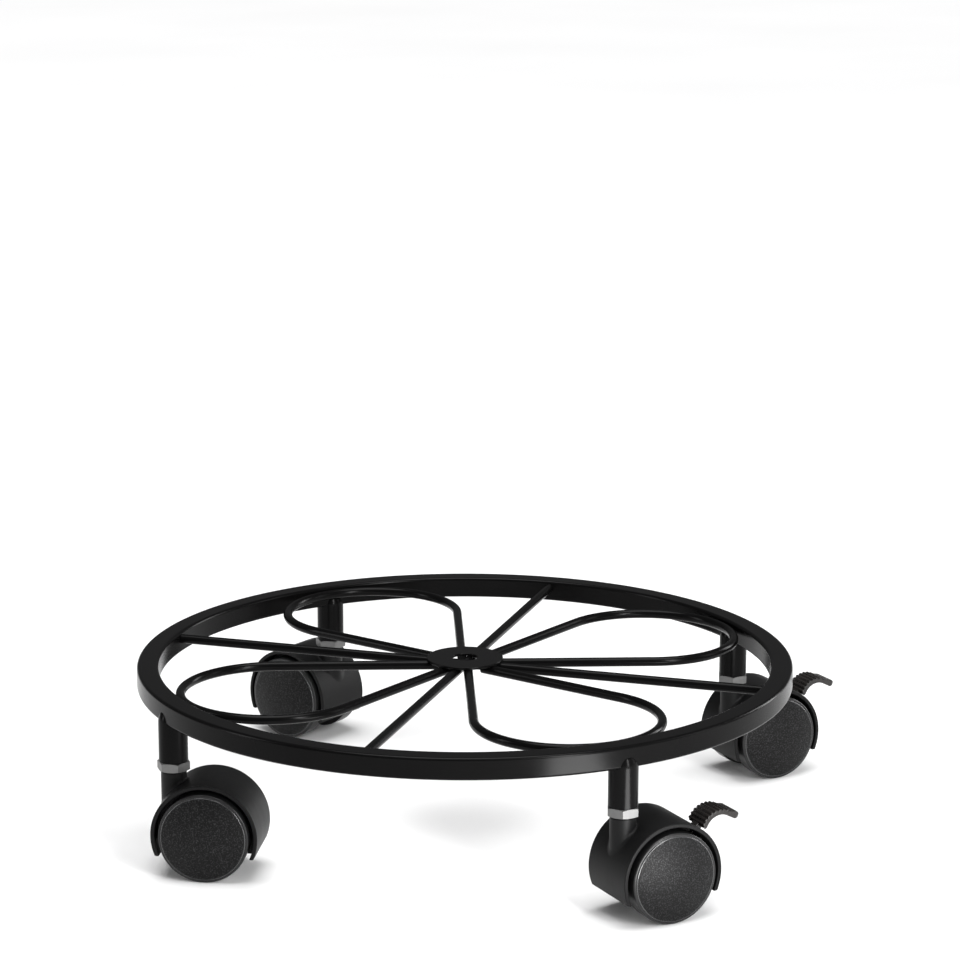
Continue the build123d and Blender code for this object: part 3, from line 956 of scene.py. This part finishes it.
@dataclass(frozen=True)
class Caster:
    """One twin-wheel caster. Its frame stands on the floor under the axle, ahead of the swivel."""

    finishes: Finishes
    corner: str
    place: Placement
    trail: float
    axle_height: float
    braked: bool
    boss_top: float = 45.9
    hood_radius: float = 23.9
    hood_wall: float = 1.8
    hood_half: float = 15.7
    hood_drop: float = 9.34
    hood_steps: int = 120
    edge_round: float = 0.5
    slot_half: float = 2.75
    slot_from: float = 27.5
    slot_to: float = 42.5
    web_half: float = 7.3
    web_radius: float = 22.7
    web_lift: float = 0.06
    pocket_length: float = 3.7
    pocket_depth: float = 5.0
    side_notch: tuple[float, float] = (36.0, 53.0)
    neck_notch: tuple[float, float] = (24.3, 53.5)
    notch_floor: float = 12.9
    web_edge: float = 0.4
    boss_radius: float = 5.7
    boss_blend: float = 1.7
    boss_edge: float = 0.45
    boss_sink: float = 0.4
    boss_steps: int = 120
    blend_sink: float = 0.03
    rim_margin: float = 0.02
    pintle_bore: float = 4.05
    pintle_chamfer: float = 0.3
    pintle_depth: float = 12.0
    pintle_floor: float = 1.0
    wheel_steps: int = 128
    wheel_radius: float = 20.2
    wheel_bore: float = 2.55
    wheel_hub_radius: float = 5.2
    wheel_hub_inner: float = 7.7
    wheel_hub_outer: float = 14.0
    disc_inner: float = 11.5
    disc_outer: float = 13.3
    rim_inner: float = 8.8
    rim_outer: float = 17.1
    rim_wall: float = 2.6
    cap_radius: float = 18.95
    cap_seat: float = 15.5
    cap_gap: float = 0.05
    cap_crown: float = 20.4
    cap_wall: float = 1.4
    cap_shoulder: float = 0.35
    cap_steps: int = 26
    shoulder_from: float = 12.0
    lining_steps: int = 12
    lining_gap: float = 0.6

    @property
    def body(self) -> str:
        """The body that the housing belongs to."""
        return f"caster_{self.corner}"

    def build(self) -> None:
        """Make the housing, both wheels and their faces, and the lever if there is one."""
        self._housing()
        for side in Side:
            self._wheel(side)
            self._face(side)
        if self.braked:
            BrakeLever(self.finishes, self.corner, self.place, self.axle_height).build()

    def _hood(self) -> list[Patch]:
        """The hood: a rounded slab bent round the axle, with the lever's slot if it is braked.

        A point's share of the slab's length gives its angle from straight up, and the slab's
        ends are cut level, so the angle at its ends is a quarter turn and the angle whose sine
        is the drop over the radius.

        Returns:
            The hood's patches.
        """
        middle = self.hood_radius - self.hood_wall / 2
        half_angle = math.pi / 2 + math.asin(self.hood_drop / middle)
        half_length = middle * half_angle
        edge, wide = self.edge_round, self.slot_half
        slot = [middle * math.radians(90.0 - end) for end in (self.slot_to, self.slot_from)]
        reach = half_length - 2 * edge
        marks = np.linspace(-reach, reach, self.hood_steps)
        along = rounded_steps(half_length, edge, [*marks, *slot] if self.braked else marks)
        across = rounded_steps(self.hood_half, edge, [-wide, 0.0, wide])
        thick = rounded_steps(self.hood_wall / 2, edge)
        patches = []
        for points, axis in rounded_block((along, across, thick), edge):
            kept = None
            if self.braked and axis == 2:
                centre = (points[:-1, :-1] + points[1:, 1:]) / 2
                inside = (centre[..., 0] > slot[0]) & (centre[..., 0] < slot[1])
                kept = ~(inside & (np.abs(centre[..., 1]) < wide))
            patches.append(Patch(self._bent(points, middle, half_length), kept=kept))
        if self.braked:
            lengths = along[(along >= slot[0] - NEAR) & (along <= slot[1] + NEAR)]
            widths = across[np.abs(across) <= wide + NEAR]
            wall = np.array([-1.0, 1.0]) * self.hood_wall / 2
            walls = [(lengths, np.array([end])) for end in (-wide, wide)]
            walls += [(np.array([end]), widths) for end in slot]
            for first, second in walls:
                box = np.stack(np.meshgrid(first, second, wall, indexing="ij"), axis=-1)
                strip = box.reshape(-1, 2, 3)
                patches.append(Patch(self._bent(strip, middle, half_length)))
        return patches

    def _bent(self, points: np.ndarray, middle: float, half_length: float) -> np.ndarray:
        """Bend a flat slab's points round the axle.

        Args:
            points: distances along, across and out of the slab.
            middle: radius of the slab's middle.
            half_length: half its length.

        Returns:
            The bent points in the caster's place.
        """
        radius = middle + points[..., 2]
        reach = math.pi / 2 + np.arcsin(self.hood_drop / radius)
        angle = math.pi / 2 - points[..., 0] / half_length * reach
        up = self.axle_height + radius * np.sin(angle)
        return self.place.put(radius * np.cos(angle), points[..., 1], up)

    def _web_edge(self, angle: np.ndarray, notch: tuple[float, float] | None) -> np.ndarray:
        """Distance from the axle to the edge of the plate between the wheels.

        It is the smallest of the plate's radius, the level cut below, and at the front the
        pocket's roof and wall. Inside the notch it is the notch's floor.

        Args:
            angle: directions from the axle, in degrees from 0 to 360.
            notch: the directions that the lever's notch lies between, if there is one.

        Returns:
            The distances.
        """
        sine, cosine = np.sin(np.radians(angle)), np.cos(np.radians(angle))
        below = np.maximum(-sine, TINY)
        drop = self.hood_drop - self.web_lift
        wall = self.hood_radius - self.hood_wall - self.pocket_length
        edge = np.minimum(self.web_radius, drop / below)
        roof = (drop - self.pocket_depth) / below
        front = np.where(cosine < 0, np.maximum(roof, -1.0), np.inf)
        reach_wall = np.where(cosine < 0, wall / np.maximum(-cosine, TINY), np.inf)
        pocket = np.where(front * np.abs(cosine) < wall, np.minimum(reach_wall, edge), front)
        edge = np.where((sine < 0) & (cosine < 0), np.minimum(edge, pocket), edge)
        if notch is not None:
            inside = (angle > notch[0]) & (angle < notch[1])
            edge = np.where(inside, self.notch_floor, edge)
        return edge

    def _web(self) -> Patch:
        """The plate between the wheels, as a fan about the axle in slices across it.

        Returns:
            The plate's surface.
        """
        steps = np.linspace(0, 360, 241)[:-1]
        pairs = np.array([*self.side_notch, *self.neck_notch])[:, None] + [-0.01, 0.01]
        angle = np.unique(np.concatenate([steps, pairs.ravel()]))
        side_edge = self._web_edge(angle, self.side_notch if self.braked else None)
        middle_edge = self._web_edge(angle, self.neck_notch if self.braked else None)
        bend, soft, count = quarter_turn(3), self.web_edge, len(angle)
        corner_edge = side_edge - soft * (1 - np.sin(bend))
        corner_side = self.web_half - soft * (1 - np.cos(bend))
        edges = (corner_edge, side_edge, middle_edge)
        radius = stacked(count, 0.0, *edges, middle_edge, side_edge, corner_edge[::-1], 0.0)
        near = stacked(count, self.web_half, corner_side, self.slot_half, self.slot_half)
        across = np.concatenate([-near, near[::-1]])
        level = radius * np.cos(np.radians(angle))
        up = self.axle_height + radius * np.sin(np.radians(angle))
        return Patch(self.place.put(level, across, up), columns_closed=True)

    def _boss(self) -> Patch:
        """The stem's boss and the soft blend from its wall into the hood.

        The blend is a curve with three guides at every angle: a point up the wall, the corner
        where wall and hood would meet, and a point on the hood further out.

        Returns:
            The boss's surface.
        """
        angle = np.linspace(0, FULL_TURN, self.boss_steps, endpoint=False)
        wall, blend, top = self.boss_radius, self.boss_blend, self.boss_top
        corner = self._hood_level(angle, wall)
        foot = self._hood_level(angle, wall + blend) - self.blend_sink
        start = np.minimum(corner + blend, top - 2 * self.boss_edge)
        share = np.linspace(0, 1, 9)[:, None]
        first, second, third = (1 - share) ** 2, 2 * share * (1 - share), share**2
        bend, soft = quarter_turn(4), self.boss_edge
        radius = stacked(
            len(angle),
            0.0,
            self.pintle_bore,
            self.pintle_bore,
            self.pintle_bore + self.pintle_chamfer,
            wall - soft * (1 - np.sin(bend)),
            (first + second) * wall + third * (wall + blend),
            wall + blend - self.boss_sink,
            0.0,
        )
        deep = top - self.pintle_depth
        height = stacked(
            len(angle),
            deep,
            deep,
            top - self.pintle_chamfer,
            top,
            top - soft * (1 - np.cos(bend)),
            first * start + second * corner + third * foot,
            foot - 2 * soft,
            deep - self.pintle_floor,
        )
        level = radius * np.cos(angle) - self.trail
        return Patch(self.place.put(level, radius * np.sin(angle), height), columns_closed=True)

    def _hood_level(self, angle: np.ndarray, radius: float) -> np.ndarray:
        """Height of the hood's surface at this radius from the swivel axis."""
        ahead = np.abs(radius * np.cos(angle) - self.trail)
        reach = np.minimum(ahead, self.hood_radius - self.rim_margin)
        return self.axle_height + np.sqrt(self.hood_radius**2 - reach**2)

    def _housing(self) -> None:
        """Make the moulded housing from its hood, plate and boss."""
        patches = [*self._hood(), self._web(), self._boss()]
        piece = sewn_piece(f"caster_housing_{self.corner}", patches)
        self.finishes.dress(piece, self.body, Slot.HOUSING, f"housing_{self.corner}")

    def _hub_place(self) -> Placement:
        """The caster's frame raised to its axle."""
        raised = self.place.origin + np.array([0.0, 0.0, self.axle_height])
        return Placement(raised, self.place.ahead, self.place.across)

    def _wheel(self, side: Side) -> None:
        """Make one wheel: its section of tread, disc and hub, turned about the axle.

        Args:
            side: the wheel's side.
        """
        tread_in = self.wheel_radius - self.rim_wall
        hub, bore = self.wheel_hub_radius, self.wheel_bore
        step = self.cap_radius + self.cap_gap
        outline = [  # distance across, radius, rounding of the corner
            (self.rim_outer, self.wheel_radius, 0.8),
            (self.rim_inner, self.wheel_radius, 0.4),
            (self.rim_inner, tread_in, 0.3),
            (self.disc_inner, tread_in, 0.5),
            (self.disc_inner, hub, 0.5),
            (self.wheel_hub_inner, hub, 0.3),
            (self.wheel_hub_inner, bore, 0.2),
            (self.wheel_hub_outer, bore, 0.2),
            (self.wheel_hub_outer, hub, 0.3),
            (self.disc_outer, hub, 0.3),
            (self.disc_outer, tread_in, 0.3),
            (self.cap_seat, tread_in, 0.1),
            (self.cap_seat, step, 0.0),
            (self.rim_outer, step, 0.08),
        ]
        profile = rounded_outline(outline, steps=5) * np.array([side.value, 1.0])
        patch = self._hub_place().turned(profile, self.wheel_steps)
        node = f"wheel_{self.corner}_{side.word}"
        piece = sewn_piece(f"tread_{self.corner}_{side.word}", [patch])
        self.finishes.dress(piece, f"{node}_body", Slot.WHEEL, node)

    def _face(self, side: Side) -> None:
        """Make one wheel's domed face: two concentric round caps, an edge and a skirt.

        A dome that rises by h over a circle of radius r has a sphere of radius (r squared plus h
        squared) over 2 h, so a point's distance across is the crown less the sphere's radius
        plus the root of the sphere's radius squared less the point's radius squared.

        Args:
            side: the wheel's side.
        """
        edge = self.cap_radius - self.cap_shoulder
        rise = self.cap_crown - self.rim_outer - self.cap_shoulder
        sphere = (edge**2 + rise**2) / (2 * rise)
        middle = self.cap_crown - sphere
        skirt = self.cap_radius - self.cap_wall
        out_radius = edge * np.sin(np.linspace(0, math.pi / 2, self.cap_steps))
        in_radius = np.linspace(skirt - self.lining_gap, 0, self.lining_steps)
        outside = np.stack([middle + np.sqrt(sphere**2 - out_radius**2), out_radius], axis=1)
        shell = sphere - self.cap_wall
        inside = np.stack([middle + np.sqrt(shell**2 - in_radius**2), in_radius], axis=1)
        bend = np.radians(np.linspace(self.shoulder_from, 90, 6))
        shoulder_across = self.rim_outer + self.cap_shoulder * np.cos(bend)
        shoulder_radius = edge + self.cap_shoulder * np.sin(bend)
        shoulder = np.stack([shoulder_across, shoulder_radius], axis=1)
        seat = self.cap_seat + self.cap_gap
        skirt_line = np.array([[seat, self.cap_radius], [seat, skirt]])
        profile = np.concatenate([outside, shoulder, skirt_line, inside])
        profile = profile * np.array([side.value, 1.0])
        patch = self._hub_place().turned(profile, self.wheel_steps, closed=False)
        piece = sewn_piece(f"face_{self.corner}_{side.word}", [patch])
        body = f"wheel_{self.corner}_{side.word}_body"
        self.finishes.dress(piece, body, Slot.FACE, f"wheel_cap_{self.corner}_{side.word}")
        self._polish_edge(piece, edge)

    def _polish_edge(self, piece: bpy.types.Object, edge: float) -> None:
        """Give a face's rounded shoulder the polished finish, whose lighter colour is a painted
        highlight.

        A facet belongs to it if its distance from the axle is more than the dome's radius and
        its distance across is more than the rim's.

        Args:
            piece: the face.
            edge: the dome's radius.
        """
        mesh, hub = piece.data, self._hub_place()
        mesh.materials.append(self.finishes.polished_edge)
        middle = np.empty(len(mesh.polygons) * 3)
        mesh.polygons.foreach_get("center", middle)
        arm = middle.reshape(-1, 3) / MM - hub.origin
        across = arm @ hub.across
        radius = np.linalg.norm(arm - across[:, None] * hub.across, axis=1)
        # These shoulder facets take the polished finish with its painted highlight colour.
        polished_painted_highlight = (radius > edge) & (np.abs(across) > self.rim_outer)
        mesh.polygons.foreach_set("material_index", polished_painted_highlight.astype(np.int32))


@dataclass(frozen=True)
class BrakeLever:
    """The moulded brake lever: ridged paddle, neck, hub on its pin, and the brake bar."""

    finishes: Finishes
    corner: str
    place: Placement
    axle_height: float
    pivot: tuple[float, float] = (15.4, 10.4)
    hollow: tuple[float, float] = (28.9, 13.5)
    under_radius: float = 7.2
    thick: float = 2.0
    curve_from: float = 158.0
    curve_to: float = 66.0
    tip: tuple[float, float] = (36.3, 19.6)
    tip_radius: float = 1.65
    ridge_radius: float = 0.74
    ridge_pitch: float = 12.4
    ridges: int = 8
    paddle_half: float = 6.3
    neck_half: float = 2.2
    neck_radius: float = 1.5
    hub_radius: float = 2.6
    pin_bore: float = 1.25
    bar_centre: tuple[float, float] = (10.93, 10.28)
    bar_radius: float = 1.5
    bar_half: float = 11.1
    bar_edge: float = 0.3
    hub_edge: float = 0.2
    toe_narrowing: float = 1.1
    ridge_sink: float = 0.2
    ridge_start: float = 4.0
    curve_steps: int = 260
    edge_round: float = 0.35

    def build(self) -> None:
        """Make the lever as one piece."""
        patches = [self._paddle(), self._arm(self.pivot, self._neck_end())]
        patches += [self._arm(self.pivot, self.bar_centre), self._hub(), self._bar()]
        piece = sewn_piece(f"lever_{self.corner}_moulding", patches, sharp=45.0)
        body, node = f"lever_{self.corner}", f"brake_lever_{self.corner}"
        self.finishes.dress(piece, body, Slot.LEVER, node)

    def _neck_end(self) -> tuple[float, float]:
        """Where the neck meets the paddle, from the axle."""
        end = on_circle(self.hollow, self.under_radius + self.thick / 2, self.curve_from)
        return float(end[0]), float(end[1])

    def _strip(self, top: np.ndarray, bottom: np.ndarray, half: np.ndarray) -> Patch:
        """A bar between a top line and a bottom line, with its four long edges rounded.

        At each place along it the section is a rectangle with rounded corners, as thick as the
        two lines are apart, and the corners' radius is never more than half of that.

        Args:
            top: the top line, as distances ahead of and above the axle.
            bottom: the bottom line.
            half: half the bar's width at each place.

        Returns:
            The bar's surface.
        """
        middle, reach = (top + bottom) / 2, (top - bottom) / 2
        thick = np.linalg.norm(reach, axis=1, keepdims=True)
        out = reach / np.maximum(thick, TINY)
        soft = np.minimum(self.edge_round, thick)
        bend = np.radians(np.linspace(0, 90, 5))
        up = np.concatenate([np.sin(bend), np.cos(bend), -np.sin(bend), -np.cos(bend)])
        side = np.concatenate([np.cos(bend), -np.sin(bend), -np.cos(bend), np.sin(bend)])
        up_sign, side_sign = np.repeat([1, 1, -1, -1], 5), np.repeat([1, -1, -1, 1], 5)
        rise = up_sign * (thick - soft) + up * soft
        across = side_sign * (half[:, None] - soft) + side * soft
        flat = middle[:, None] + rise[..., None] * out[:, None]
        points = self.place.put(flat[..., 0], across, self.axle_height + flat[..., 1])
        return Patch(points, columns_closed=True)

    def _paddle(self) -> Patch:
        """The curved paddle with its ridges, and the toe that runs on to a round end.

        Over a ridge the outer line is the far side of a small circle set just under the outer
        radius: its distance from the hollow's middle is the centre's distance times the cosine
        of the angle between them, plus the root of the ridge's radius squared less the square
        of that distance times the sine.

        Returns:
            The paddle's surface.
        """
        outer, mid = self.under_radius + self.thick, self.under_radius + self.thick / 2
        angle = np.linspace(self.curve_from, self.curve_to, self.curve_steps)
        crest = outer - self.ridge_sink
        first = self.curve_from - self.ridge_start
        nearest = np.clip(np.round((first - angle) / self.ridge_pitch), 0, self.ridges - 1)
        off = np.radians(first - nearest * self.ridge_pitch - angle)
        root = self.ridge_radius**2 - (crest * np.sin(off)) ** 2
        bump = crest * np.cos(off) + np.sqrt(np.maximum(root, 0.0))
        line = np.where(root > 0, np.maximum(bump, outer), outer)
        direction = on_circle((0.0, 0.0), 1.0, angle)
        curve_top = np.asarray(self.hollow) + line[:, None] * direction
        curve_low = on_circle(self.hollow, self.under_radius, angle)

        start = on_circle(self.hollow, mid, self.curve_from)
        back = np.linspace(90, 8, 7)
        back_top = on_circle(start, self.thick / 2, self.curve_from + back)
        back_low = on_circle(start, self.thick / 2, self.curve_from + 180 - back)

        bend_end, tip = on_circle(self.hollow, mid, self.curve_to), np.asarray(self.tip)
        run = tip - bend_end
        course = math.degrees(math.atan2(run[1], run[0]))
        flare = math.degrees(math.asin((self.tip_radius - self.thick / 2) / np.linalg.norm(run)))
        toe = np.linspace(90 + flare, 0, 12)
        top_start = on_circle(bend_end, self.thick / 2, course + 90 + flare)
        low_start = on_circle(bend_end, self.thick / 2, course - 90 - flare)
        toe_top = on_circle(self.tip, self.tip_radius, course + toe)
        toe_low = on_circle(self.tip, self.tip_radius, course - toe)
        top = np.concatenate([back_top, curve_top, [top_start], toe_top])
        bottom = np.concatenate([back_low, curve_low, [low_start], toe_low])
        toe_share = np.linspace(0, 1, len(toe))
        narrowing = self.toe_narrowing * (1 - np.sqrt(np.maximum(1 - toe_share**2, 0.0)))
        wide = np.full(len(top) - len(toe), self.paddle_half)
        return self._strip(top, bottom, np.concatenate([wide, self.paddle_half - narrowing]))

    def _arm(self, start: tuple[float, float], end: tuple[float, float]) -> Patch:
        """A straight arm with round ends between two points."""
        run = np.asarray(end) - np.asarray(start)
        course = math.degrees(math.atan2(run[1], run[0]))
        bend = np.linspace(0, 90, 8)
        radius = self.neck_radius
        back = [on_circle(start, radius, course + 180 + side * bend) for side in (-1, 1)]
        front = [on_circle(end, radius, course + side * (bend - 90)) for side in (-1, 1)]
        top, low = (np.concatenate(halves) for halves in zip(back, front))
        return self._strip(top, low, np.full(len(top), self.neck_half))

    def _centred(self, centre: tuple[float, float]) -> Placement:
        """The caster's frame with its origin at a point beside the axle."""
        shift = centre[0] * self.place.ahead + np.array([0.0, 0.0, self.axle_height + centre[1]])
        return Placement(self.place.origin + shift, self.place.ahead, self.place.across)

    def _hub(self) -> Patch:
        """The hub round the pin: a thick ring turned about the pin."""
        half, soft = self.neck_half, self.hub_edge
        outline = [
            (half, self.hub_radius, soft),
            (-half, self.hub_radius, soft),
            (-half, self.pin_bore, soft),
            (half, self.pin_bore, soft),
        ]
        return self._centred(self.pivot).turned(rounded_outline(outline, steps=3), 48)

    def _bar(self) -> Patch:
        """The brake bar: a rod with softened ends, closed at its middle line."""
        half, soft = self.bar_half, self.bar_edge
        profile = np.array(
            [
                [half, 0.0],
                [half, self.bar_radius - soft],
                [half - soft, self.bar_radius],
                [soft - half, self.bar_radius],
                [-half, self.bar_radius - soft],
                [-half, 0.0],
            ]
        )
        return self._centred(self.bar_centre).turned(profile, 32, closed=False)


# ---------------------------------------------------------------------------------------------
# Studio
# ---------------------------------------------------------------------------------------------
@dataclass(frozen=True)
class SoftLight:
    """One soft light: where it is, its two sides in metres, and its power.

    It faces the caddy, or it lies flat on the floor and shines up.
    """

    name: str
    azimuth: float
    distance: float
    height: float
    width: float
    length: float
    power: float
    lies_flat: bool = False
    aim_height: float = 0.03

    def hung(self) -> bpy.types.Object:
        """Make the light, in its place and turned the right way."""
        data = bpy.data.lights.new(self.name, "AREA")
        data.shape, data.size, data.size_y = "RECTANGLE", self.width, self.length
        data.energy = self.power
        lamp = bpy.data.objects.new(self.name, data)
        angle = math.radians(self.azimuth)
        spot = self.distance * math.cos(angle), self.distance * math.sin(angle)
        lamp.location = (*spot, self.height)
        lamp.rotation_mode = "QUATERNION"
        if self.lies_flat:
            over = Quaternion((1.0, 0.0, 0.0), math.pi)
            lamp.rotation_quaternion = Quaternion(UP, angle + math.pi / 2) @ over
        else:
            to_caddy = Vector((0.0, 0.0, self.aim_height)) - lamp.location
            lamp.rotation_quaternion = to_caddy.to_track_quat("-Z", "Y")
        return lamp


@dataclass(frozen=True)
class Studio:
    """The camera, the soft lights and the pale floor."""

    aim: tuple[float, float, float] = (0.0, 0.0, 0.0782)
    lens: float = 125.54
    distance: float = 1.5392
    azimuth: float = 287.5
    elevation: float = 16.33
    aim_across: float = -0.004484
    aim_up: float = -0.05283
    floor_radius: float = 9.0
    room_tone: Colour = (0.150, 0.150, 0.152)
    sky_power: float = 3.3
    sky_width: float = 46.0
    lights: tuple[SoftLight, ...] = (
        SoftLight("front_strip", 321.0, 1.5, 0.65, 0.20, 1.3, 26.0),
        SoftLight("low_strip", 317.0, 0.35, 0.004, 0.09, 0.22, 1.7, lies_flat=True),
        SoftLight("left_bank", 207.0, 1.9, 0.7, 0.35, 1.2, 9.0),
        SoftLight("right_bank", 14.0, 1.8, 0.7, 0.5, 1.2, 5.0),
        SoftLight("rear_right_strip", 51.0, 1.8, 0.5, 0.35, 1.0, 13.0),
    )

    def build_camera(self) -> None:
        """Make the camera.

        It stands at a distance, azimuth and elevation from the aim. Looking straight at the aim,
        it is then turned by the smallest turn that brings the aim to its place in the picture.
        """
        azimuth, elevation = math.radians(self.azimuth), math.radians(self.elevation)
        level = math.cos(elevation)
        away = Vector((level * math.cos(azimuth), level * math.sin(azimuth), math.sin(elevation)))
        forward = -away
        right = forward.cross(Vector(UP)).normalized()
        base = Matrix((right, right.cross(forward), forward))
        aimed = Vector((self.aim_across, self.aim_up, 1.0)).normalized()
        turn = Vector(UP).rotation_difference(aimed).to_matrix()
        rows = turn @ base
        axes = Matrix((rows[0], rows[1], -rows[2])).transposed()
        data = bpy.data.cameras.new("studio_camera")
        data.lens, data.sensor_width = self.lens, 36.0
        data.clip_start, data.clip_end = 0.05, 60.0
        camera = bpy.data.objects.new("studio_camera", data)
        eye = Vector(self.aim) + self.distance * away
        camera.matrix_world = Matrix.Translation(eye) @ axes.to_4x4()
        bpy.context.scene.collection.objects.link(camera)
        bpy.context.scene.camera = camera

    def build_lights(self) -> None:
        """Set up the soft lights and the wide one overhead, in a dim even room."""
        for light in self.lights:
            bpy.context.scene.collection.objects.link(light.hung())
        sky = bpy.data.lights.new("overhead_silk", "SUN")
        sky.energy, sky.angle = self.sky_power, math.radians(self.sky_width)
        bpy.context.scene.collection.objects.link(bpy.data.objects.new("overhead_silk", sky))
        world = bpy.data.worlds.new("studio_room")
        world.use_nodes = True
        background = world.node_tree.nodes["Background"]
        background.inputs["Color"].default_value = (*self.room_tone, 1.0)
        bpy.context.scene.world = world
        bpy.context.scene.view_settings.view_transform = "Standard"

    def build_floor(self) -> None:
        """Lay the floor: a flat round sheet, whose points are a radius and an angle."""
        radius = np.linspace(0, self.floor_radius / MM, 8)[:, None]
        angle = np.linspace(0, FULL_TURN, 96, endpoint=False)
        flat = [radius * np.cos(angle), radius * np.sin(angle), np.zeros((8, 96))]
        floor = sewn_piece("studio_floor", [Patch(np.stack(flat, axis=-1), columns_closed=True)])
        floor.data.materials.append(StudioPaper().material())


# ---------------------------------------------------------------------------------------------
# The whole caddy
# ---------------------------------------------------------------------------------------------
KEPT_NODES = {
    "stem_clips": Slot.SPRING_STEEL,
    "stem_": Slot.ZINC,
    "axle_washers_": Slot.SPRING_STEEL,
    "axle_": Slot.ZINC,
    "lever_pin_": Slot.ZINC,
}


def anchor(joints: dict[str, dict], name: str) -> np.ndarray:
    """A joint's place, in millimetres."""
    return np.array(joints[name]["pos_m"], float) / MM


def build_casters(finishes: Finishes, joints: dict[str, dict], corners: Sequence[str]) -> None:
    """Build each caster where its joints are.

    Args:
        finishes: the materials.
        joints: the record's joints by name.
        corners: the corners' names.
    """
    for corner in corners:
        swivel = anchor(joints, f"swivel_{corner}")
        axle = anchor(joints, f"spin_{corner}_left")
        across = np.array(joints[f"spin_{corner}_left"]["axis"], float)
        run = (axle - swivel) * np.array([1.0, 1.0, 0.0])
        trail = float(np.linalg.norm(run))
        place = Placement(axle * np.array([1.0, 1.0, 0.0]), run / trail, across)
        braked = f"brake_{corner}" in joints
        Caster(finishes, corner, place, trail, float(axle[2]), braked).build()


def main() -> None:
    """Load the frame, then build the studio, the platform and the casters in order."""
    logging.basicConfig(level=logging.INFO, format="%(message)s")
    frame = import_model()
    studio = Studio()
    studio.build_camera()
    finishes = Finishes()
    joints = {joint["name"]: joint for joint in frame["joints"]}
    corners = [name.removeprefix("swivel_") for name in joints if name.startswith("swivel_")]
    _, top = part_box("outer_ring")
    places = {corner: anchor(joints, f"swivel_{corner}") for corner in corners}
    Platform(finishes, places, height=top.z / MM, ring_radius=top.x / MM).build()
    build_casters(finishes, joints, corners)
    for name, node in frame["nodes"].items():
        slots = [slot for start, slot in KEPT_NODES.items() if name.startswith(start)]
        if slots:
            finishes.repaint(node, slots[0])
    studio.build_lights()
    studio.build_floor()


if __name__ == "__main__":
    main()
